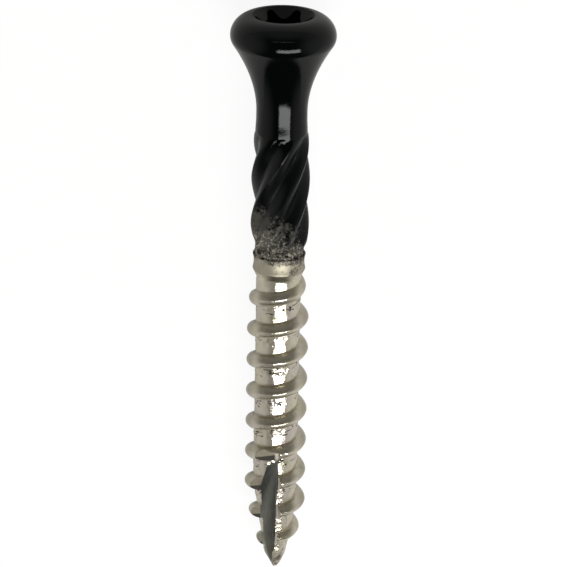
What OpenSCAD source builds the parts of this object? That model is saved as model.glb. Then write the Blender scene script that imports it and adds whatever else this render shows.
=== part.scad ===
// Deck screw with a raised trim head, a star recess, a twisted reamer,
// a coarse wood thread and a slash point. It lies as it comes to rest,
// on the rim of its head and one crest of its thread, with its head at +Y.
// All lengths are in millimetres. Stations along the screw are measured
// from the top of the head towards the tip.

/* [Overall] */
// Length from the top of the head to the tip
screw_l = 47.6; // [46:0.1:60]

/* [Head] */
// Widest diameter of the head
head_d = 8.35; // [7.6:0.05:9.4]
// Station of the widest ring
rim_s = 1.66; // [1.4:0.02:1.9]
// Radial width of the domed part of the top
dome_w = 1.8; // [1.5:0.05:2]
// Rounding under the widest ring
rim_round = 1.25; // [1:0.05:1.5]
// Angle that the rounding under the rim turns through
rim_sweep = 34; // [30:1:38]
// Station where the trumpet under the head meets the shank
trumpet_end = 7.8; // [7:0.05:8.4]

/* [Star recess] */
// Diameter across the points of the star
star_d = 4.5; // [3.8:0.05:4.6]
// Diameter across the valleys of the star
star_valley_d = 3.25; // [2.8:0.05:3.4]
// Radius of each point of the star
star_lobe_r = 0.4; // [0.3:0.01:0.45]
// Depth of the star
star_depth = 2.8; // [2:0.1:3.2]
// Diameter of the bevelled mouth of the recess
mouth_d = 4.9; // [4.7:0.05:5]

/* [Shank] */
// Diameter of the smooth shank
shank_d = 4.05; // [3.9:0.05:4.2]
// Swelling of the shank's diameter where the ribs start
shank_swell = 0.1; // [0.06:0.01:0.14]

/* [Reamer] */
// Station where the ribs start
reamer_start = 9.6; // [8.8:0.1:11]
// Length over which the ribs rise to their full height
rib_rise = 2.6; // [1.5:0.1:4]
// Number of ribs
rib_count = 6; // [4:1:8]
// Length in which a rib goes once round, right-handed
rib_lead = 22.5; // [16:0.5:40]
// Diameter over the ribs
rib_d = 4.65; // [4.4:0.05:5]
// Diameter at the bottom of the grooves
groove_d = 3.6; // [3.3:0.05:3.8]
// Turn of the ribs round the screw
rib_turn = 36; // [0:1:60]

/* [Collar] */
// Station of the ridge where the ribs end
ridge_s = 19.8; // [18:0.1:21]
// Diameter of that ridge
ridge_d = 4.24; // [4.15:0.02:4.4]
// Length from the ridge to the edge of the collar
collar_l = 1.3; // [1.2:0.05:2]
// Diameter of the collar
collar_d = 4.22; // [4.15:0.02:4.5]
// Diameter of the waist between ridge and collar
waist_d = 3.95; // [3.9:0.01:4.08]

/* [Thread] */
// Diameter over the thread
thread_d = 4.96; // [4.6:0.02:5.4]
// Diameter of the core between the turns
core_d = 3.56; // [3.4:0.02:3.66]
// Advance of one turn, right-handed
pitch = 2.69; // [2.4:0.01:3]
// Length from the ridge to the first full crest on the +X side
crest_offset = 2.62; // [2.4:0.02:3]
// Width of the flat on top of the thread
crest_w = 0.26; // [0.16:0.02:0.4]
// Width of the thread below its rounded top
shoulder_w = 0.7; // [0.5:0.02:0.8]
// Width of the thread where it meets the core
root_w = 1.3; // [0.9:0.02:1.4]
// Shift of the turns towards the tip on the +X side, and back on the other
thread_wander = 0.12; // [0:0.01:0.2]
// Length over which the thread rises at its start
thread_rise = 4.2; // [2:0.1:6]
// Length of the tapered point
point_l = 8; // [7:0.1:10]
// How far the last turns close up towards the tip
point_squeeze = 0.3; // [0:0.05:0.5]
// Bow of the point towards +X, halfway along it
point_bow = 0.16; // [0:0.02:0.3]

/* [Slash] */
// Length of the cut from its start to the tip
slash_l = 11.5; // [8:0.1:13]
// Slope of the floor of the cut, deeper towards the tip
slash_slope = 9; // [6:0.5:11]
// Skew of the cut across the screw
slash_skew = 2.5; // [0:0.5:5]
// Height of the floor above the axis, at the tip
slash_floor = 0.13; // [0.05:0.01:0.4]
// Distance of the foot of the wall from the axis, at the start
slash_wall_x = 0.3; // [0:0.05:0.8]
// Lean of the wall of the cut
slash_lean = 27; // [10:1:45]

/* [Fineness] */
// Points round one turn of the thread
turn_steps = 32; // [24:8:40]

/* [Hidden] */
$fn = 96;
over = 1;
head_r = head_d / 2;
shank_r = shank_d / 2;
rib_r = rib_d / 2;
groove_r = groove_d / 2;
waist_r = waist_d / 2;
collar_r = collar_d / 2;
ridge_r = ridge_d / 2;
crest_r = thread_d / 2;
core_r = core_d / 2;
neck_r = core_r + 0.03;
collar_s = ridge_s + collar_l;
crest_s = ridge_s + crest_offset;
point_s = screw_l - point_l;

// A point of a turned outline: radius and height above the top of the head
function outline(r, station) = [r, -station];

// Points of an arc with separate radii across and along the screw
function arc(centre, across, along, from, to, steps) = [
    for (i = [0:steps])
        let (a = from + (to - from) * i / steps)
            outline(centre[0] + across * cos(a), centre[1] + along * sin(a))
];

// A smooth step from 0 to 1
function ease(t) = let (c = min(1, max(0, t))) c * c * (3 - 2 * c);

// The head and the trumpet under it

trumpet_top_r = head_r - rim_round * (1 - cos(rim_sweep));
trumpet_top_s = rim_s + rim_round * sin(rim_sweep);
trumpet_steps = 16;
// Bend that lets the trumpet leave the rounding of the rim without a kink
trumpet_bend = tan(rim_sweep) * (trumpet_end - trumpet_top_s) / (trumpet_top_r - shank_r);
// The swelling of the shank over this length, up to where the ribs start
swell_l = 1.2;
reamer_top_r = shank_r + shank_swell / 2;

function trumpet() = [
    for (i = [1:trumpet_steps])
        let (t = i / trumpet_steps)
            outline(shank_r + (trumpet_top_r - shank_r) * pow(1 - t, trumpet_bend),
                    trumpet_top_s + (trumpet_end - trumpet_top_s) * t)
];

module head() {
    color([0.09, 0.1, 0.09])
        rotate_extrude()
            polygon(concat(
                [outline(0, 0)],
                arc([head_r - dome_w, rim_s], dome_w, rim_s, -90, 0, 12),
                arc([head_r - rim_round, rim_s], rim_round, rim_round, 6, rim_sweep, 6),
                trumpet(),
                [outline(shank_r, reamer_start - swell_l),
                 outline(shank_r + shank_swell / 4, reamer_start - 0.65 * swell_l),
                 outline(reamer_top_r, reamer_start - 0.3),
                 outline(reamer_top_r - 0.012, reamer_start),
                 outline(0, reamer_start)]));
}

// The star recess: lobes and valleys as arcs that meet smoothly

lobe_c = star_d / 2 - star_lobe_r;
valley_r = star_valley_d / 2;
// Distance of a valley's centre that makes its arc tangent to the lobes
valley_c = (lobe_c * lobe_c - pow(star_lobe_r - valley_r, 2))
    / (2 * lobe_c * cos(30) - 2 * (valley_r - star_lobe_r));
valley_arc_r = valley_c - valley_r;
lobe_sweep = atan2(valley_c * sin(30), valley_c * cos(30) - lobe_c);

function star() = [
    for (lobe = [0:5])
        for (p = concat(
            [for (a = [-lobe_sweep : lobe_sweep / 4 : lobe_sweep + 0.01])
                [lobe_c + star_lobe_r * cos(a), star_lobe_r * sin(a)]],
            [for (i = [1:3])
                let (a = 180 + lobe_sweep + i * (30 - lobe_sweep) / 2)
                    [valley_c * cos(30) + valley_arc_r * cos(a),
                     valley_c * sin(30) + valley_arc_r * sin(a)]]))
            [p[0] * cos(60 * lobe) - p[1] * sin(60 * lobe),
             p[0] * sin(60 * lobe) + p[1] * cos(60 * lobe)]
];

module recess() {
    mouth_r = mouth_d / 2;
    color([0.05, 0.05, 0.05]) {
        translate([0, 0, -star_depth])
            linear_extrude(star_depth + over)
                polygon(star());
        // the bevelled mouth, at 45 degrees
        translate([0, 0, -mouth_r])
            cylinder(h = mouth_r + over, r1 = 0, r2 = mouth_r + over);
        // the drilled bottom
        translate([0, 0, -star_depth - valley_r / 2])
            cylinder(h = valley_r / 2 + 0.02, r1 = 0, r2 = valley_r - 0.04);
    }
}

// The twisted ribs of the reamer: rings whose points turn with the lead

rib_points = 6;
reamer_sunk = 0.35;
reamer_cap_s = ridge_s - 0.06;
reamer_rings = 20;

function rib_height(t) = groove_r + (rib_r - groove_r) * abs(1 - 2 * t);
function rib_radius(station, t) =
    let (rise = ease((station - reamer_start) / rib_rise),
         fall = ease((station - ridge_s + 1.4) / 1.3),
         plain = reamer_top_r - 0.024,
         ribbed = plain + (rib_height(t) - plain) * rise)
        ribbed + (waist_r - ribbed) * fall;

function reamer_ring(station, shrink) = [
    for (i = [0:rib_count * rib_points - 1])
        let (a = rib_turn + 360 * i / (rib_count * rib_points) - 360 * station / rib_lead,
             r = rib_radius(station, (i % rib_points) / rib_points) - shrink)
            [r * cos(a), r * sin(a), -station]
];

module reamer() {
    n = rib_count * rib_points;
    top_s = reamer_start - reamer_sunk;
    step = (reamer_cap_s - top_s) / reamer_rings;
    points = [
        for (j = [0:reamer_rings])
            for (p = reamer_ring(top_s + step * j, j == 0 ? 0.1 : 0)) p
    ];
    sides = [
        for (j = [0:reamer_rings - 1])
            for (i = [0:n - 1])
                let (a = j * n + i, b = j * n + (i + 1) % n)
                    each [[a, b, b + n], [a, b + n, a + n]]
    ];
    ends = [[for (i = [n - 1:-1:0]) i], [for (i = [0:n - 1]) reamer_rings * n + i]];
    color([0.16, 0.16, 0.15])
        polyhedron(points, concat(sides, ends), convexity = 10);
}

// The plain collar below the ribs and the neck where the thread starts

module collar() {
    neck_end = ridge_s + 3.3;
    color([0.66, 0.64, 0.6])
        rotate_extrude()
            polygon([
                outline(0, ridge_s - 0.5),
                outline(groove_r - 0.2, ridge_s - 0.5),
                outline(ridge_r, ridge_s),
                outline(waist_r, ridge_s + 0.45 * collar_l),
                outline(waist_r + 0.02, ridge_s + 0.7 * collar_l),
                outline(collar_r, collar_s - 0.1),
                outline(collar_r, collar_s),
                outline(neck_r, collar_s + 0.4),
                outline(neck_r, neck_end),
                outline(core_r - 0.3, neck_end + 0.5),
                outline(0, neck_end + 0.5)]);
}

// The wood thread: one strip of the thread's section wound round the core

// Section over one pitch: offset along the screw and height, 0 core to 1 crest
section = [
    [-pitch / 2, 0],
    [-root_w / 2, 0],
    [-shoulder_w / 2, 0.7],
    [-crest_w / 2, 1],
    [crest_w / 2, 1],
    [shoulder_w / 2, 0.7],
    [root_w / 2, 0]
];
section_points = len(section);
strip_start = crest_s - pitch / 2;
// The last full section is this far past the last crest on the +X side
strip_tail = 0.3;
last_crest = floor((screw_l - 0.8 - crest_s) / pitch);
strip_steps = ceil((last_crest * pitch + strip_tail + 1.5 * pitch) / pitch * turn_steps);
// The strip's far edge is held this short of the tip, over this softness
tip_gap = 0.05;
tip_soft = 0.3;

// Share of the point's length that is left at a station, 1 above the point
function left_of_point(station) = min(1, max(0, (screw_l - station) / point_l));
function core_radius(station) = core_r * pow(left_of_point(station), 0.44);
function crest_radius(station) =
    crest_r * pow(1 - pow(1 - left_of_point(station), 2), 0.78);
function bow(station) = point_bow * sin(180 * left_of_point(station));
// The turns close up towards the tip and never pass it
function closed_up(station) =
    station - point_squeeze * pow(max(0, (station - point_s) / point_l), 2);
function squeezed(station) =
    let (left = screw_l - tip_gap - closed_up(station))
        screw_l - tip_gap - tip_soft * ln(1 + exp(left / tip_soft));
function thread_rise_at(step) =
    let (t = (step * pitch / turn_steps) / thread_rise,
         tail = (strip_steps - turn_steps - step) / (turn_steps / 4))
        pow(min(1, max(0, t)), 0.45) * ease(tail);

// A point of the strip: step counts along the helix, k across the section
function strip_point(step, k) =
    let (a = 180 - 360 * step / turn_steps,
         wander = thread_wander * cos(a),
         station = squeezed(strip_start + step * pitch / turn_steps + section[k][0] + wander),
         rise = section[k][1] * thread_rise_at(step),
         r = core_radius(station) + (crest_radius(station) - core_radius(station)) * rise)
        [r * cos(a) + bow(station), r * sin(a), -station];

module thread() {
    m = section_points;
    last = strip_steps - turn_steps;
    points = concat(
        [for (step = [0:last]) for (k = [0:m - 1]) strip_point(step, k)],
        [for (step = [last + 1:strip_steps]) strip_point(step, 0)],
        [[0, 0, -strip_start], [0, 0, -screw_l]]);
    top = len(points) - 2;
    tip = len(points) - 1;
    // Past the last full section only the edge of the strip goes on
    function at(step, k) =
        k == m ? at(step + turn_steps, 0)
        : step <= last ? step * m + k
        : (last + 1) * m + step - last - 1;
    side = [
        for (step = [0:last - 1])
            for (k = [0:m - 1])
                let (a = at(step, k), b = at(step + 1, k),
                     c = at(step + 1, k + 1), d = at(step, k + 1))
                    each [[a, c, b], [a, d, c]]
    ];
    head_end = concat(
        [for (step = [0:turn_steps - 1]) [top, at(step, 0), at(step + 1, 0)]],
        [for (k = [0:m - 1]) [top, at(0, k + 1), at(0, k)]]);
    tip_end = concat(
        [for (step = [last:last + turn_steps - 1]) [tip, at(step + 1, 0), at(step, 0)]],
        [for (k = [0:m - 1]) [tip, at(last, k), at(last, k + 1)]]);
    color([0.66, 0.64, 0.6])
        polyhedron(points, concat(side, head_end, tip_end), convexity = 10);
}

// The slash cut through the first turns, open to the -Y side and the tip

module slash() {
    reach = head_d;
    wall_top = reach * tan(slash_lean);
    color([0.33, 0.33, 0.31])
        translate([0, -slash_floor, -screw_l])
            rotate([slash_slope, 0, 0])
                rotate([0, slash_skew, 0])
                    translate([slash_wall_x - slash_l * sin(slash_skew), 0, -over])
                        rotate([0, 0, 180])
                            linear_extrude(slash_l + over)
                                polygon([[0, 0], [reach, 0], [reach, reach], [-wall_top, reach]]);
}

module screw_upright() {
    difference() {
        union() {
            head();
            reamer();
            collar();
            thread();
        }
        recess();
        slash();
    }
}

// Lying at rest: the head's rim and the crest below that carries the shaft

rim_rest_r = head_r;
function rest_slope(station) = (rim_rest_r - crest_radius(station)) / (station - rim_s);
crests_below = [
    for (n = [0:floor((screw_l - 2 * pitch - crest_s) / pitch)])
        squeezed(crest_s + (n + 0.75) * pitch)
];
lie_tilt = atan(min([for (station = crests_below) rest_slope(station)]));

// Highest reach of the head's rounded rim below the axis, once tilted
rest_h = (head_r - rim_round) * cos(lie_tilt) + rim_s * sin(lie_tilt) + rim_round;
// The head's far end and the tip, along Y, once tilted
head_end_y = (head_r - dome_w) * sin(lie_tilt) - rim_s * cos(lie_tilt)
    + sqrt(pow(dome_w * sin(lie_tilt), 2) + pow(rim_s * cos(lie_tilt), 2));
tip_end_y = -screw_l * cos(lie_tilt);

module deck_screw() {
    translate([0, -(head_end_y + tip_end_y) / 2, rest_h])
        rotate([lie_tilt - 90, 0, 0])
            screw_upright();
}

deck_screw();
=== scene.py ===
"""A deck screw lying on a pale table: lacquered head, shank and reamer, bright thread and slash point."""
import math

import bmesh
import bpy
from mathutils import Matrix, Vector, noise


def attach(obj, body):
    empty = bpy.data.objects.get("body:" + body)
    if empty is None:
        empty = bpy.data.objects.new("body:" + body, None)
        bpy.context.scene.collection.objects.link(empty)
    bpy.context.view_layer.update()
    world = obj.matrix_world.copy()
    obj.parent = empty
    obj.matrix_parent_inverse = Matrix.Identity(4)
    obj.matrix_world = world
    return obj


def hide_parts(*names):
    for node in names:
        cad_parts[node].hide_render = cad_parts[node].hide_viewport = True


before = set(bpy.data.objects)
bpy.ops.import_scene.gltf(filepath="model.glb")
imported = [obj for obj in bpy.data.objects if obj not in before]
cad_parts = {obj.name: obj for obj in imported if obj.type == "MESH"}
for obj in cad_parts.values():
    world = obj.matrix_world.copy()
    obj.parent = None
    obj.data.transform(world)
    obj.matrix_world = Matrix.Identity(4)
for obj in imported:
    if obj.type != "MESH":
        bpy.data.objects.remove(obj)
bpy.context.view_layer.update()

# Sizes of the screw, in millimetres. Stations run from the top of the head to the tip.
SCREW_L = 47.6
HEAD_R = 8.35 / 2
RIM_S = 1.66
DOME_W = 1.8
RIM_ROUND = 1.25
RIM_SWEEP = math.radians(34)
TRUMPET_END = 7.8
SHANK_R = 4.05 / 2
SWELL_R = SHANK_R + 0.05
SWELL_L = 1.2

# Star recess
STAR_R = 4.5 / 2
STAR_VALLEY_R = 3.25 / 2
STAR_LOBE_R = 0.4
STAR_DEPTH = 2.8
MOUTH_R = 4.9 / 2

# Reamer ribs
REAMER_START = 9.6
RIB_RISE = 2.6
RIB_COUNT = 6
RIB_LEAD = 22.5
RIB_R = 4.65 / 2
GROOVE_R = 3.6 / 2
RIB_TURN = math.radians(36)

# Collar
RIDGE_S = 19.8
RIDGE_R = 4.24 / 2
COLLAR_L = 1.3
COLLAR_R = 4.22 / 2
WAIST_R = 3.95 / 2
COLLAR_S = RIDGE_S + COLLAR_L

# Thread
CREST_R = 4.96 / 2
CORE_R = 3.56 / 2
PITCH = 2.69
CREST_S = RIDGE_S + 2.62
ROOT_HALF = 1.3 / 2
THREAD_WANDER = 0.12
THREAD_RISE = 4.2
POINT_L = 8.0
POINT_S = SCREW_L - POINT_L
POINT_SQUEEZE = 0.3
POINT_BOW = 0.16
TIP_GAP = 0.05
TIP_SOFT = 0.3
STRIP_START = CREST_S - PITCH / 2
STRIP_TAIL = 0.3

# Slash
SLASH_L = 11.5
SLASH_SLOPE = math.radians(9)
SLASH_SKEW = math.radians(2.5)
SLASH_FLOOR = 0.13
SLASH_WALL_X = 0.3
SLASH_LEAN = math.radians(27)

# How the screw lies: on the rim of its head and one crest of its thread
LIE_TILT = math.radians(2.5363)
HEAD_TOP = Vector((0, 0.0237232, 0.0042456))
MM = 0.001
LAID = (Matrix.Translation(HEAD_TOP) @ Matrix.Rotation(LIE_TILT - math.pi / 2, 4, "X")
        @ Matrix.Scale(MM, 4))


def ease(t):
    """A smooth step from 0 to 1."""
    t = min(1, max(0, t))
    return t * t * (3 - 2 * t)


def as_object(bm, name):
    """The bmesh as an object, still upright and in millimetres."""
    mesh = bpy.data.meshes.new(name)
    bm.to_mesh(mesh)
    bm.free()
    piece = bpy.data.objects.new(name, mesh)
    bpy.context.scene.collection.objects.link(piece)
    return piece


def arc(centre_r, centre_s, across, along, start, end, steps):
    """Outline points of an arc with separate radii across and along the screw."""
    turns = [start + (end - start) * i / steps for i in range(steps + 1)]
    return [(centre_r + across * math.cos(a), centre_s - along * math.sin(a)) for a in turns]


def head_rings():
    """Rings of the dome, rounded rim, trumpet and smooth shank, down to the ribs."""
    dome = arc(HEAD_R - DOME_W, RIM_S, DOME_W, RIM_S, math.pi / 2, 0, 28)
    rim = arc(HEAD_R - RIM_ROUND, RIM_S, RIM_ROUND, RIM_ROUND, 0, -RIM_SWEEP, 14)[1:]
    top_r, top_s = rim[-1]
    trumpet = []
    trumpet_steps = 40
    bend = math.tan(RIM_SWEEP) * (TRUMPET_END - top_s) / (top_r - SHANK_R)
    for i in range(1, trumpet_steps + 1):
        t = i / trumpet_steps
        r = SHANK_R + (top_r - SHANK_R) * (1 - t) ** bend
        trumpet.append((r, top_s + (TRUMPET_END - top_s) * t))
    swell = []
    swell_steps = 10
    for i in range(swell_steps + 1):
        t = i / swell_steps
        swell.append((SHANK_R + (SWELL_R - SHANK_R) * ease(t), REAMER_START - SWELL_L * (1 - t)))
    return dome + rim + trumpet + swell


def rib_radius(station, turn):
    """Radius of the reamer at a station and an angle round the screw."""
    phase = (turn - RIB_TURN + 2 * math.pi * station / RIB_LEAD) * RIB_COUNT / (2 * math.pi)
    ramp = abs(1 - 2 * (phase % 1))
    wave = 0.5 + 0.5 * math.cos(2 * math.pi * phase)
    ribbed = GROOVE_R + (RIB_R - GROOVE_R) * (0.62 * ramp + 0.38 * wave)
    rise = ease((station - REAMER_START + 0.3) / RIB_RISE) ** 0.55
    fall = ease((station - RIDGE_S + 1.4) / 1.3)
    r = SWELL_R + (ribbed - SWELL_R) * rise
    return r + (WAIST_R - r) * fall


def collar_rings():
    """Rings of the ridge, waist and flared collar, and the neck where the thread starts."""
    neck_r = CORE_R + 0.03
    neck_end = RIDGE_S + 3.3
    flare = []
    flare_steps = 16
    for i in range(flare_steps + 1):
        t = i / flare_steps
        r = WAIST_R + (RIDGE_R - WAIST_R) * (1 - t) ** 2.4 + (COLLAR_R - WAIST_R) * t ** 2.4
        flare.append((r, RIDGE_S + (COLLAR_L - 0.08) * t))
    under = [(COLLAR_R - 0.04, COLLAR_S + 0.02), (neck_r + 0.08, COLLAR_S + 0.4)]
    neck_s = COLLAR_S + 0.6
    neck = [(neck_r, neck_s + (neck_end - neck_s) * i / 8) for i in range(9)]
    return flare + under + neck + [(CORE_R - 0.3, neck_end + 0.5)]


def shank_shell():
    """One ring drawn down the screw from the top of the head to the neck under the collar."""
    rib_steps = 90
    rib_l = RIDGE_S - REAMER_START
    ribs = [(None, REAMER_START + rib_l * i / rib_steps) for i in range(1, rib_steps)]
    rings = head_rings() + ribs + collar_rings()
    bm = bmesh.new()
    bmesh.ops.create_circle(bm, cap_ends=True, segments=RIB_COUNT * 24, radius=rings[0][0])
    rim = bm.edges[:]
    for (_, last), (r, station) in zip(rings, rings[1:]):
        drawn = bmesh.ops.extrude_edge_only(bm, edges=rim)["geom"]
        corners = [g for g in drawn if isinstance(g, bmesh.types.BMVert)]
        rim = [g for g in drawn if isinstance(g, bmesh.types.BMEdge)]
        twist = 2 * math.pi * (station - last) / RIB_LEAD if r is None else 0
        bmesh.ops.rotate(bm, verts=corners, cent=(0, 0, 0), matrix=Matrix.Rotation(-twist, 3, "Z"))
        for v in corners:
            turn = math.atan2(v.co.y, v.co.x)
            reach = rib_radius(station, turn) if r is None else r
            v.co = (reach * math.cos(turn), reach * math.sin(turn), -station)
    bmesh.ops.edgeloop_fill(bm, edges=rim)
    bmesh.ops.recalc_face_normals(bm, faces=bm.faces)
    return bm


def left_of_point(station):
    """Share of the point's length that is left at a station, 1 above the point."""
    return min(1, max(0, (SCREW_L - station) / POINT_L))


def core_radius(station):
    return CORE_R * left_of_point(station) ** 0.44


def crest_radius(station):
    return CREST_R * (1 - (1 - left_of_point(station)) ** 2) ** 0.78


def squeezed(station):
    """The turns close up towards the tip and never pass it."""
    past = max(0, (station - POINT_S) / POINT_L)
    end = SCREW_L - TIP_GAP
    left = end - (station - POINT_SQUEEZE * past ** 2)
    return end - TIP_SOFT * math.log(1 + math.exp(left / TIP_SOFT))


def thread_height(offset, turn):
    """Height of the thread's section: a narrow crest, rolled rounder on the screw's left."""
    across = min(1, abs(offset) / ROOT_HALF)
    rounder = ease((-math.cos(turn) - 0.3) / 0.6)
    return (1 - across ** (1.6 + 0.6 * rounder)) ** (0.75 - 0.1 * rounder)


TURN_STEPS = 96
LAST_CREST = math.floor((SCREW_L - 0.8 - CREST_S) / PITCH)
STRIP_STEPS = math.ceil((LAST_CREST * PITCH + STRIP_TAIL + PITCH / 2) / PITCH * TURN_STEPS)
STRIP_END = STRIP_START + STRIP_STEPS * PITCH / TURN_STEPS


def shape_thread_point(v):
    """Moves a point of the plain wound strip to its place on the thread."""
    turn = math.atan2(v.co.y, v.co.x)
    station = -v.co.z
    wound = (math.pi - turn) / (2 * math.pi) * PITCH
    offset = (station - STRIP_START - wound + PITCH / 2) % PITCH - PITCH / 2
    centre = station - offset
    rise = min(1, max(0, (centre - STRIP_START) / THREAD_RISE)) ** 0.45
    tail = ease((STRIP_END - centre) / (PITCH / 4))
    station = squeezed(station + THREAD_WANDER * math.cos(turn))
    height = thread_height(offset, turn) * rise * tail
    uneven = 0.25 + 0.75 * ease((offset + PITCH * 0.1) / 0.8)
    place = Vector((2.6 * math.cos(turn), 2.6 * math.sin(turn), station))
    below_crest = ease((offset - 0.55) / 0.15) * (1 - ease((offset - 0.95) / 0.35))
    dents = noise.noise(place * 1.7) + (0.45 + 0.9 * below_crest) * noise.noise(place * 4.3)
    r = 0.042 * dents * uneven * (1 - height) + core_radius(station) + (crest_radius(station) - core_radius(station)) * height
    bow = POINT_BOW * math.sin(math.pi * left_of_point(station))
    v.co = (r * math.cos(turn) + bow, r * math.sin(turn), -station)


def thread_shell():
    """One pitch of plain strip wound round the core, closed at both ends and shaped."""
    bm = bmesh.new()
    lobe = [ROOT_HALF * math.sin(math.pi / 2 * i / 10) for i in range(1, 10)]
    root = [ROOT_HALF * t for t in (0.998, 1, 1.03)]
    far = [ROOT_HALF * 1.03 + (PITCH / 2 - ROOT_HALF * 1.03) * i / 5 for i in range(1, 6)]
    half = lobe + root + far
    offsets = [-x for x in reversed(half)] + [0] + half
    points = [bm.verts.new((-1, 0, -STRIP_START - x)) for x in offsets]
    for a, b in zip(points, points[1:]):
        bm.edges.new((a, b))
    bmesh.ops.spin(bm, geom=bm.verts[:] + bm.edges[:], cent=(0, 0, 0), axis=(0, 0, -1),
                   dvec=(0, 0, -PITCH / TURN_STEPS),
                   angle=2 * math.pi * STRIP_STEPS / TURN_STEPS, steps=STRIP_STEPS)
    bmesh.ops.remove_doubles(bm, verts=bm.verts, dist=0.0005)
    middle = -(STRIP_START + STRIP_END) / 2
    open_edges = [e for e in bm.edges if e.is_boundary]
    ends = [
        ([e for e in open_edges if e.verts[0].co.z > middle], -STRIP_START),
        ([e for e in open_edges if e.verts[0].co.z < middle], -STRIP_END),
    ]
    poles = []
    for edges, height in ends:
        drawn = bmesh.ops.extrude_edge_only(bm, edges=edges)["geom"]
        corners = [g for g in drawn if isinstance(g, bmesh.types.BMVert)]
        bmesh.ops.pointmerge(bm, verts=corners, merge_co=(0, 0, height))
        bm.verts.ensure_lookup_table()
        poles.append(min(bm.verts, key=lambda v: (v.co - Vector((0, 0, height))).length))
    for v in bm.verts:
        if v not in poles:
            shape_thread_point(v)
    poles[1].co.z = -SCREW_L
    bmesh.ops.recalc_face_normals(bm, faces=bm.faces)
    return bm


def star_cutter():
    """The star's prism: six round lobes and six valleys that meet smoothly."""
    lobe_c = STAR_R - STAR_LOBE_R
    cos30 = math.cos(math.radians(30))
    valley_c = ((lobe_c ** 2 - (STAR_LOBE_R - STAR_VALLEY_R) ** 2)
                / (2 * lobe_c * cos30 - 2 * (STAR_VALLEY_R - STAR_LOBE_R)))
    valley_arc = valley_c - STAR_VALLEY_R
    sweep = math.atan2(valley_c / 2, valley_c * cos30 - lobe_c)
    bm = bmesh.new()
    corners = []
    for lobe in range(6):
        turn = Matrix.Rotation(math.radians(60) * lobe, 3, "Z")
        for i in range(13):
            a = -sweep + 2 * sweep * i / 12
            point = Vector((lobe_c + STAR_LOBE_R * math.cos(a), STAR_LOBE_R * math.sin(a), 0))
            corners.append(bm.verts.new(turn @ point))
        for i in range(1, 8):
            a = math.pi + sweep + i * (math.radians(30) - sweep) / 4
            point = Vector((valley_c * cos30 + valley_arc * math.cos(a),
                            valley_c / 2 + valley_arc * math.sin(a), 0))
            corners.append(bm.verts.new(turn @ point))
    floor = bm.faces.new(corners)
    bmesh.ops.translate(bm, verts=bm.verts, vec=(0, 0, -STAR_DEPTH))
    drawn = bmesh.ops.extrude_face_region(bm, geom=[floor])["geom"]
    raised = [g for g in drawn if isinstance(g, bmesh.types.BMVert)]
    bmesh.ops.translate(bm, verts=raised, vec=(0, 0, STAR_DEPTH + 1))
    bmesh.ops.recalc_face_normals(bm, faces=bm.faces)
    return bm


def cone_cutter(low_r, high_r, height, base):
    """A cone along the screw's axis that stands on the height base."""
    bm = bmesh.new()
    bmesh.ops.create_cone(bm, cap_ends=True, cap_tris=False, segments=144,
                          radius1=low_r, radius2=high_r, depth=height)
    bmesh.ops.translate(bm, verts=bm.verts, vec=(0, 0, base + height / 2))
    return bm


SLASH_OVER = 1
SLASH_PLACE = (Matrix.Translation((0, -SLASH_FLOOR, -SCREW_L))
               @ Matrix.Rotation(SLASH_SLOPE, 4, "X")
               @ Matrix.Rotation(SLASH_SKEW, 4, "Y")
               @ Matrix.Translation((SLASH_WALL_X - SLASH_L * math.sin(SLASH_SKEW), 0, -SLASH_OVER))
               @ Matrix.Rotation(math.pi, 4, "Z"))


def slash_cutter():
    """The block that shears the slash: a flat floor and a leaning wall."""
    reach = 2 * HEAD_R
    bm = bmesh.new()
    wall_top = reach * math.tan(SLASH_LEAN)
    corners = [(0, 0), (reach, 0), (reach, reach), (-wall_top, reach)]
    section = bm.faces.new([bm.verts.new((x, y, 0)) for x, y in corners])
    drawn = bmesh.ops.extrude_face_region(bm, geom=[section])["geom"]
    raised = [g for g in drawn if isinstance(g, bmesh.types.BMVert)]
    bmesh.ops.translate(bm, verts=raised, vec=(0, 0, SLASH_L + SLASH_OVER))
    bmesh.ops.transform(bm, verts=bm.verts, matrix=SLASH_PLACE)
    bmesh.ops.recalc_face_normals(bm, faces=bm.faces)
    return bm


def crumple_burr(bm):
    """Crumples the metal that the cut pushed up along the top of its wall."""
    back = SLASH_PLACE.inverted()
    for v in bm.verts:
        at = back @ v.co
        behind_wall = -(at.x + at.y * math.tan(SLASH_LEAN)) * math.cos(SLASH_LEAN)
        if at.y < 0.3 or at.z < 0 or at.z > SLASH_L + SLASH_OVER or not -0.02 < behind_wall < 0.5:
            continue
        share = 1 - ease(behind_wall / 0.5)
        push = noise.noise_vector(v.co * 4.4) * 0.14 + Vector((-0.1, -0.02, 0))
        v.co += push * share


def drop_stray_faces(bm):
    """Takes out faces without area, and pairs of faces that lie on the same corners."""
    bmesh.ops.dissolve_degenerate(bm, dist=0.0005, edges=bm.edges)
    bmesh.ops.triangulate(bm, faces=bm.faces)
    on_corners = {}
    for face in bm.faces:
        on_corners.setdefault(frozenset(face.verts), []).append(face)
    pairs = [face for faces in on_corners.values() if len(faces) > 1 for face in faces]
    bmesh.ops.delete(bm, geom=pairs, context="FACES")


def finish_mesh(body):
    """Cleans the mesh, crumples the burr, lays the screw down and marks the sharp edges."""
    bm = bmesh.new()
    bm.from_mesh(body.data)
    drop_stray_faces(bm)
    crumple_burr(bm)
    bmesh.ops.transform(bm, verts=bm.verts, matrix=LAID)
    for face in bm.faces:
        face.smooth = True
    for edge in bm.edges:
        edge.smooth = edge.calc_face_angle(0) < math.radians(38)
    bm.to_mesh(body.data)
    bm.free()
    body.data.update()


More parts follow.
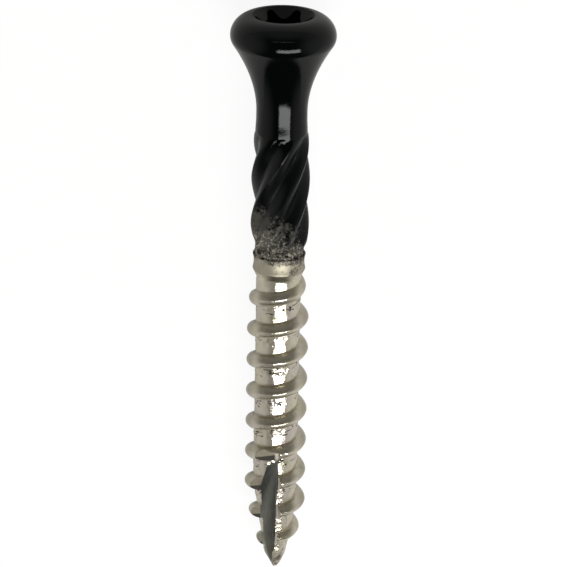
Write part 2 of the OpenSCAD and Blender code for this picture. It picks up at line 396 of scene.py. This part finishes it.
def combined(base, others, operation):
    """The base with the other objects joined to it or cut from it."""
    for other in others:
        join = base.modifiers.new("join", "BOOLEAN")
        join.object = other
        join.operation = operation
        join.solver = "MANIFOLD"
        join.material_mode = "TRANSFER"
    graph = bpy.context.evaluated_depsgraph_get()
    mesh = bpy.data.meshes.new_from_object(base.evaluated_get(graph))
    base.modifiers.clear()
    base.data = mesh
    for other in others:
        bpy.data.objects.remove(other)


def srgb(code):
    """An sRGB hex colour as linear values for a shader."""
    parts = [int(code[i:i + 2], 16) / 255 for i in (0, 2, 4)]
    return tuple(p / 12.92 if p <= 0.04045 else ((p + 0.055) / 1.055) ** 2.4 for p in parts) + (1,)


def add_node(tree, kind, settings=None, **inputs):
    """Adds a node with its settings, and sets or links its inputs."""
    node = tree.nodes.new(kind)
    for name, value in (settings or {}).items():
        setattr(node, name, value)
    for name, value in inputs.items():
        socket = node.inputs[int(name[1:])] if name[0] == "i" and name[1:].isdigit() \
            else node.inputs[name.replace("_", " ")]
        if isinstance(value, bpy.types.NodeSocket):
            tree.links.new(value, socket)
        else:
            socket.default_value = value
    return node


def new_material(name):
    material = bpy.data.materials.new(name)
    material.use_nodes = True
    material.node_tree.nodes.clear()
    return material


def screw_coordinates(tree):
    """Object coordinates turned to the upright screw, in millimetres."""
    back = LAID.inverted()
    turned_back = back.to_euler()
    coords = add_node(tree, "ShaderNodeTexCoord")
    return add_node(tree, "ShaderNodeMapping", {"vector_type": "POINT"},
                    Vector=coords.outputs["Object"], Location=back.to_translation(),
                    Rotation=turned_back, Scale=back.to_scale()).outputs[0]


def math_node(tree, operation, *values):
    """A math node on up to three values or sockets, and its result."""
    inputs = {f"i{i}": value for i, value in enumerate(values)}
    return add_node(tree, "ShaderNodeMath", {"operation": operation}, **inputs).outputs[0]


def smooth_range(tree, value, low, high, start=0.0, end=1.0):
    """A smooth step of a value between two limits."""
    return add_node(tree, "ShaderNodeMapRange", {"interpolation_type": "SMOOTHSTEP"}, Value=value,
                    From_Min=low, From_Max=high, To_Min=start, To_Max=end).outputs[0]


def blend(tree, share, first, second):
    """One colour mixed into another."""
    return add_node(tree, "ShaderNodeMix", {"data_type": "RGBA"}, i0=share, i6=first,
                    i7=second).outputs[2]


def blotches(tree, place, scale, detail=3.0, rough=0.5):
    return add_node(tree, "ShaderNodeTexNoise", Vector=place, Scale=scale, Detail=detail,
                    Roughness=rough).outputs[0]


def thread_phase(tree, split, station):
    """Place between two crests, in pitches: 0.5 on a crest, less on its head side."""
    turn = math_node(tree, "ARCTAN2", split.outputs[1], split.outputs[0])
    wound = math_node(tree, "MULTIPLY_ADD", turn, 1 / (2 * math.pi), -STRIP_START / PITCH)
    wander = math_node(tree, "MULTIPLY", math_node(tree, "COSINE", turn), -THREAD_WANDER)
    along = math_node(tree, "ADD", station, wander)
    return math_node(tree, "FRACT", math_node(tree, "MULTIPLY_ADD", along, 1 / PITCH, wound))


def steel_tones(tree, place, phase, station, side):
    """Rolled steel: warm grey with dark rolling laps, painted shade on the head side of the turns and
    along the screw's sides, and painted shadow under each crest and under the collar.
    """
    tint = blend(tree, smooth_range(tree, blotches(tree, place, 0.45), 0.35, 0.65),
                 srgb("d3ccb6"), srgb("cfc5ba"))
    tint = blend(tree, smooth_range(tree, blotches(tree, place, 1.4), 0.5, 0.72), tint,
                 srgb("bdba9f"))
    # Painted shade: across the front, the head side of each turn is coloured dark olive in place of its
    # dark reflection.
    shaded_flank = math_node(tree, "MULTIPLY", smooth_range(tree, phase, 0.262, 0.274),
                      smooth_range(tree, phase, 0.462, 0.485, 1.0, 0.0))
    front = math_node(tree, "MULTIPLY", smooth_range(tree, side, 1.2, 1.8, 0.8, 0.0),
                      smooth_range(tree, station, 21.6, 21.8))
    tint = blend(tree, math_node(tree, "MULTIPLY", shaded_flank, front), tint, srgb("89836f"))
    # Painted shade: the steel is coloured darker towards the screw's left and right sides.
    tint = blend(tree, smooth_range(tree, side, 1.75, 2.3, 0.0, 0.5), tint, srgb("9c9583"))
    # Painted shadow under the collar: this mask and the middle one below colour the neck just beneath the
    # collar dark brown across the front.
    under = math_node(tree, "MULTIPLY", smooth_range(tree, station, 21.08, 21.16),
                      smooth_range(tree, station, 21.5, 21.7, 0.85, 0.0))
    middle = smooth_range(tree, side, 0.4, 1.4, 1.0, 0.0)
    tint = blend(tree, smooth_range(tree, station, 21.1, 21.3, 0.55, 0.0), tint, srgb("97917d"))
    # Painted shadow under the collar.
    tint = blend(tree, math_node(tree, "MULTIPLY", under, middle), tint, srgb("3d362c"))
    # Painted shadow: a thin dark line on the tip side just below each crest, across the front.
    crest_shadow = math_node(tree, "MULTIPLY", smooth_range(tree, phase, 0.56, 0.58),
                       smooth_range(tree, phase, 0.62, 0.66, 0.8, 0.0))
    tint = blend(tree, math_node(tree, "MULTIPLY", crest_shadow, front), tint, srgb("5c5646"))
    drawn = add_node(tree, "ShaderNodeMapping", Vector=place, Scale=(0.55, 0.55, 1.7))
    wave = blotches(tree, drawn.outputs[0], 1.15, 2.0)
    edge = math_node(tree, "ABSOLUTE", math_node(tree, "SUBTRACT", wave, 0.5))
    line = smooth_range(tree, edge, 0.012, 0.03, 1.0, 0.0)
    where = smooth_range(tree, blotches(tree, place, 0.8, 1.0), 0.46, 0.52)
    zone = smooth_range(tree, phase, 0.7, 0.74)
    below = math_node(tree, "MULTIPLY", smooth_range(tree, station, 22.6, 23.2),
                      smooth_range(tree, station, 42.0, 43.0, 1.0, 0.0))
    laps = math_node(tree, "MULTIPLY", math_node(tree, "MULTIPLY", line, where),
                     math_node(tree, "MULTIPLY", zone, below))
    return blend(tree, laps, tint, srgb("1d1b17")), laps


def coated_steel():
    """Gloss black lacquer over rolled stainless steel, worn off in speckles at the ribs' end."""
    material = new_material("black_lacquer_on_stainless")
    tree = material.node_tree
    place = screw_coordinates(tree)
    split = add_node(tree, "ShaderNodeSeparateXYZ", Vector=place)
    station = math_node(tree, "MULTIPLY", split.outputs[2], -1.0)
    side = math_node(tree, "ABSOLUTE", split.outputs[0])
    phase = thread_phase(tree, split, station)
    steel, laps = steel_tones(tree, place, phase, station, side)
    worn = add_node(tree, "ShaderNodeMapRange", Value=station, From_Min=14.8,
                    From_Max=20.6).outputs[0]
    grain = math_node(tree, "MULTIPLY_ADD", blotches(tree, place, 4.2, 4.0, 0.7), 1.3, -0.65)
    patch = math_node(tree, "MULTIPLY_ADD", blotches(tree, place, 0.9, 2.0), 1.2, -0.6)
    spread = smooth_range(tree, station, 14.0, 16.5)
    uneven = math_node(tree, "MULTIPLY", math_node(tree, "ADD", grain, patch), spread)
    left_first = smooth_range(tree, split.outputs[0], -1.7, 1.2, 0.14, -0.2)
    past = math_node(tree, "ADD", left_first, smooth_range(tree, station, 19.9, 20.4, 0.0, 0.32))
    past = math_node(tree, "ADD", past, smooth_range(tree, station, 21.0, 21.3, 0.0, 0.5))
    bared = math_node(tree, "ADD", math_node(tree, "ADD", worn, uneven), past)
    thick = smooth_range(tree, bared, 0.2, 0.62, 1.0, 0.0)
    thin = smooth_range(tree, bared, 0.78, 1.12, 1.0, 0.0)
    speck = math_node(tree, "MULTIPLY", smooth_range(tree, blotches(tree, place, 6.5, 2.0), 0.56, 0.63),
                      smooth_range(tree, station, 16.5, 19.0, 0.0, 0.8))
    worn_film = blend(tree, speck, srgb("5d5a53"), srgb("c9c4b2"))
    film = blend(tree, thin, steel, worn_film)
    band = math_node(tree, "MULTIPLY", smooth_range(tree, station, 18.7, 19.3),
                     smooth_range(tree, station, 19.75, 19.95, 1.0, 0.0))
    smudge = math_node(tree, "MULTIPLY", band, smooth_range(
        tree, blotches(tree, place, 1.5, 3.0, 0.6), 0.52, 0.6))
    film = blend(tree, smudge, film, srgb("221f1b"))
    tone = blend(tree, thick, film, srgb("040605"))
    metal = math_node(tree, "MULTIPLY_ADD", thick, -0.66, 0.66)
    ribbed = smooth_range(tree, station, REAMER_START + 0.2, REAMER_START + 1.8)
    gloss = math_node(tree, "MULTIPLY_ADD", ribbed, 0.2, 0.07)
    dull = smooth_range(tree, station, 21.3, 21.7, 0.36, 0.0)
    bare = math_node(tree, "ADD", math_node(tree, "MULTIPLY_ADD", thin, 0.28, 0.14), dull)
    rough = add_node(tree, "ShaderNodeMix", {"data_type": "FLOAT"}, i0=thick, i2=bare, i3=gloss)
    coarse = math_node(tree, "MULTIPLY", blotches(tree, place, 3.0, 2.0),
                       smooth_range(tree, station, 15.0, 20.0, 0.04, 1.0))
    height = math_node(tree, "MULTIPLY_ADD", blotches(tree, place, 11.0, 2.0), 0.22, coarse)
    rolled = math_node(tree, "MULTIPLY", smooth_range(tree, station, 22.0, 24.0, 0.0, 2.2),
                       blotches(tree, place, 2.1, 3.0, 0.6))
    height = math_node(tree, "ADD", height, rolled)
    height = math_node(tree, "MULTIPLY_ADD", laps, -0.6, height)
    wall = math_node(tree, "MULTIPLY", smooth_range(tree, split.outputs[0], 0.0, 0.2),
                     smooth_range(tree, split.outputs[0], 0.55, 1.0, 1.0, 0.0))
    torn = math_node(tree, "MULTIPLY", smooth_range(tree, station, 36.6, 37.2), wall)
    torn = math_node(tree, "MULTIPLY", torn, blotches(tree, place, 5.5, 2.0))
    height = math_node(tree, "MULTIPLY_ADD", torn, 3.0, height)
    bump = add_node(tree, "ShaderNodeBump", Strength=0.5, Distance=0.00004, Height=height)
    shader = add_node(tree, "ShaderNodeBsdfPrincipled", Base_Color=tone, Metallic=metal,
                      Roughness=rough.outputs[0], Specular_IOR_Level=0.2, Normal=bump.outputs[0])
    add_node(tree, "ShaderNodeOutputMaterial", Surface=shader.outputs[0])
    return material


def recess_black():
    """Lacquer that has pooled in the recess: black and dull, so the star reads as a dark hole."""
    material = new_material("pooled_black_lacquer")
    tree = material.node_tree
    place = screw_coordinates(tree)
    bump = add_node(tree, "ShaderNodeBump", Strength=0.6, Distance=0.00004,
                    Height=blotches(tree, place, 4.0, 3.0))
    shader = add_node(tree, "ShaderNodeBsdfPrincipled", Base_Color=srgb("040404"), Roughness=0.32,
                      Specular_IOR_Level=0.22, Normal=bump.outputs[0])
    add_node(tree, "ShaderNodeOutputMaterial", Surface=shader.outputs[0])
    return material


def sheared_steel():
    """The cut's torn face: dull dark grey with fine lines, painted darker towards the head and lighter
    towards the point; the wall and the cut turns' head side and right part are painted light, and the
    turns' tip side is painted shade.
    """
    material = new_material("sheared_stainless")
    tree = material.node_tree
    place = screw_coordinates(tree)
    split = add_node(tree, "ShaderNodeSeparateXYZ", Vector=place)
    station = math_node(tree, "MULTIPLY", split.outputs[2], -1.0)
    lines = add_node(tree, "ShaderNodeMapping", Vector=place, Scale=(7, 7, 0.6))
    grain = blotches(tree, lines.outputs[0], 1.0, 4.0)
    # Painted shade and light: the flat floor is coloured darker towards the head and lighter towards the
    # tip.
    shaded_near_head = blend(tree, grain, srgb("43433d"), srgb("2b2c28"))
    lit_near_tip = blend(tree, grain, srgb("6f6d64"), srgb("4f4e48"))
    floor = blend(tree, smooth_range(tree, station, 39.5, 45.0), shaded_near_head, lit_near_tip)
    wall_way = (SLASH_PLACE.to_3x3() @ Vector((1, math.tan(SLASH_LEAN), 0))).normalized()
    wall_start = wall_way.dot(SLASH_PLACE.to_translation())
    reach = add_node(tree, "ShaderNodeVectorMath", {"operation": "DOT_PRODUCT"}, i0=place,
                     i1=wall_way).outputs["Value"]
    from_wall = math_node(tree, "ABSOLUTE", math_node(tree, "SUBTRACT", reach, wall_start))
    # Painted light: the leaning wall, which faces away from the lamp, is coloured lighter than the floor
    # to stand in for the glint of the burr along it.
    wall = smooth_range(tree, from_wall, 0.01, 0.03, 1.0, 0.0)
    floor = blend(tree, wall, floor, srgb("8f8d84"))
    left = math_node(tree, "MAXIMUM", add_node(
        tree, "ShaderNodeMapRange", Value=station, From_Min=POINT_S, From_Max=SCREW_L,
        To_Min=1.0, To_Max=0.0).outputs[0], 0.0)
    core = math_node(tree, "MULTIPLY", math_node(tree, "POWER", left, 0.44), CORE_R)
    across = math_node(tree, "SQRT", math_node(
        tree, "ADD", math_node(tree, "POWER", split.outputs[0], 2.0),
        math_node(tree, "POWER", split.outputs[1], 2.0)))
    # Painted shade and light on the cut turns: their cut faces are coloured dark on the tip side, as the
    # shadow under the crest, and light on the head side and on the right, as lit metal and the glint of
    # the burr.
    outside = smooth_range(tree, math_node(tree, "SUBTRACT", across, core), -0.02, 0.04)
    phase = thread_phase(tree, split, station)
    head_side = smooth_range(tree, phase, 0.54, 0.58, 1.0, 0.0)
    right = smooth_range(tree, split.outputs[0], -0.1, 0.1)
    bright = math_node(tree, "MULTIPLY", outside, math_node(tree, "MAXIMUM", head_side, right))
    # Painted light: the floor is coloured lighter near the point, where the real face turns towards the
    # light.
    point = smooth_range(tree, station, 44.2, 45.6)
    tone = blend(tree, math_node(tree, "MULTIPLY", point, 0.6), floor, srgb("7c7b6d"))
    edge = blend(tree, right, srgb("8b8474"), srgb("c9c1b4"))
    tone = blend(tree, outside, tone, srgb("34302c"))
    tone = blend(tree, bright, tone, edge)
    rough = math_node(tree, "MULTIPLY_ADD", bright, -0.2, 0.5)
    bump = add_node(tree, "ShaderNodeBump", Strength=0.3, Distance=0.00003, Height=grain)
    metal = math_node(tree, "MULTIPLY_ADD", wall, -0.4, 0.7)
    shader = add_node(tree, "ShaderNodeBsdfPrincipled", Base_Color=tone, Metallic=metal,
                      Roughness=rough, Normal=bump.outputs[0])
    add_node(tree, "ShaderNodeOutputMaterial", Surface=shader.outputs[0])
    return material


def build_screw():
    """The whole screw as one closed piece."""
    body = as_object(shank_shell(), "deck_screw_body")
    shells = [as_object(thread_shell(), "thread")]
    cutters = [
        as_object(star_cutter(), "star"),
        as_object(cone_cutter(0, MOUTH_R + 1, MOUTH_R + 1, -MOUTH_R), "mouth"),
        as_object(cone_cutter(0, STAR_VALLEY_R - 0.04, STAR_VALLEY_R / 2,
                              -STAR_DEPTH - STAR_VALLEY_R / 2 + 0.02), "drilled_bottom"),
        as_object(slash_cutter(), "slash"),
    ]
    coated = coated_steel()
    recess = recess_black()
    for shell in [body] + shells:
        shell.data.materials.append(coated)
    for cutter in cutters[:3]:
        cutter.data.materials.append(recess)
    cutters[3].data.materials.append(sheared_steel())
    combined(body, shells, "UNION")
    combined(body, cutters, "DIFFERENCE")
    finish_mesh(body)
    return body


def area_lamp(name, toward, distance, across, along, watts):
    """A soft box that faces the screw's middle from the given direction."""
    lamp = bpy.data.lights.new(name, "AREA")
    lamp.shape = "RECTANGLE"
    lamp.size = across
    lamp.size_y = along
    lamp.energy = watts
    holder = bpy.data.objects.new(name, lamp)
    back = toward.normalized()
    right = (Vector((1, 0, 0)) - back * back.x).normalized()
    holder.matrix_world = Matrix((right, back.cross(right), back)).transposed().to_4x4()
    holder.matrix_world.translation = back * distance
    bpy.context.scene.collection.objects.link(holder)
    return holder


def build_floor():
    bm = bmesh.new()
    bmesh.ops.create_grid(bm, x_segments=1, y_segments=1, size=0.4)
    floor = as_object(bm, "table_top")
    material = new_material("pale_table")
    tree = material.node_tree
    matt = add_node(tree, "ShaderNodeBsdfDiffuse", Color=srgb("cfcfcc"))
    glow = add_node(tree, "ShaderNodeEmission", Strength=1.09)
    path = add_node(tree, "ShaderNodeLightPath")
    mirrored = math_node(tree, "MULTIPLY", path.outputs["Is Glossy Ray"], 0.14)
    share = math_node(tree, "MULTIPLY_ADD", path.outputs["Is Camera Ray"], 0.84, mirrored)
    mixed = add_node(tree, "ShaderNodeMixShader", i0=share, i1=matt.outputs[0],
                     i2=glow.outputs[0])
    add_node(tree, "ShaderNodeOutputMaterial", Surface=mixed.outputs[0])
    floor.data.materials.append(material)


def build_world():
    world = bpy.data.worlds.new("studio")
    bpy.context.scene.world = world
    world.use_nodes = True
    tree = world.node_tree
    tree.nodes.clear()
    coords = add_node(tree, "ShaderNodeTexCoord")
    split = add_node(tree, "ShaderNodeSeparateXYZ", Vector=coords.outputs["Generated"])
    aside = math_node(tree, "ABSOLUTE", split.outputs[0])
    sides = smooth_range(tree, aside, 0.4, 1.0, 0.02, 0.58)
    behind = smooth_range(tree, split.outputs[1], 0.5, 1.0, 0.0, 0.35)
    off_strip = math_node(tree, "ABSOLUTE", math_node(tree, "SUBTRACT", split.outputs[1], 0.49))
    strip = math_node(tree, "MULTIPLY", smooth_range(tree, off_strip, 0.012, 0.025, 1.3, 0.0),
                      smooth_range(tree, aside, 0.3, 0.45, 1.0, 0.0))
    both = math_node(tree, "ADD", math_node(tree, "ADD", sides, behind), strip)
    tone = add_node(tree, "ShaderNodeBackground", Strength=both,
                    Color=(1, 1, 1, 1))
    white = add_node(tree, "ShaderNodeBackground", Strength=0.97, Color=(1, 1, 1, 1))
    path = add_node(tree, "ShaderNodeLightPath")
    mixed = add_node(tree, "ShaderNodeMixShader", i0=path.outputs["Is Camera Ray"],
                     i1=tone.outputs[0], i2=white.outputs[0])
    add_node(tree, "ShaderNodeOutputWorld", Surface=mixed.outputs[0])


def build_camera():
    """Stands over the screw, a little towards the head, as the photograph was taken."""
    elevation = math.radians(21.3)
    distance = 0.2667
    look_station = 22.46 * MM
    roll = math.radians(1.157)
    side = 0.000396
    axis = Vector((0, math.cos(LIE_TILT), math.sin(LIE_TILT)))
    up = Vector((0, -math.sin(LIE_TILT), math.cos(LIE_TILT)))
    target = HEAD_TOP - axis * look_station
    toward = up * math.cos(elevation) + axis * math.sin(elevation)
    image_up = axis * math.cos(elevation) - up * math.sin(elevation)
    right = image_up.cross(toward)
    turned_up = image_up * math.cos(roll) - right * math.sin(roll)
    turned_right = turned_up.cross(toward)
    place = target + turned_right * side + toward * distance
    data = bpy.data.cameras.new("camera")
    data.sensor_width = 36
    data.lens = 211
    data.clip_start = 0.01
    camera = bpy.data.objects.new("camera", data)
    camera.matrix_world = Matrix((turned_right, turned_up, toward)).transposed().to_4x4()
    camera.matrix_world.translation = place
    bpy.context.scene.collection.objects.link(camera)
    bpy.context.scene.camera = camera


build_camera()
screw = build_screw()
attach(screw, "root")
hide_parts("deck_screw")
build_floor()
build_world()
light_side = math.radians(12)
light_lean = math.radians(24.5)
key = Vector((math.sin(light_side), -math.sin(light_lean), math.cos(light_side) * math.cos(light_lean)))
area_lamp("soft_box", key, 0.5, 0.43, 0.19, 2.3)
bpy.context.scene.view_settings.view_transform = "Standard"
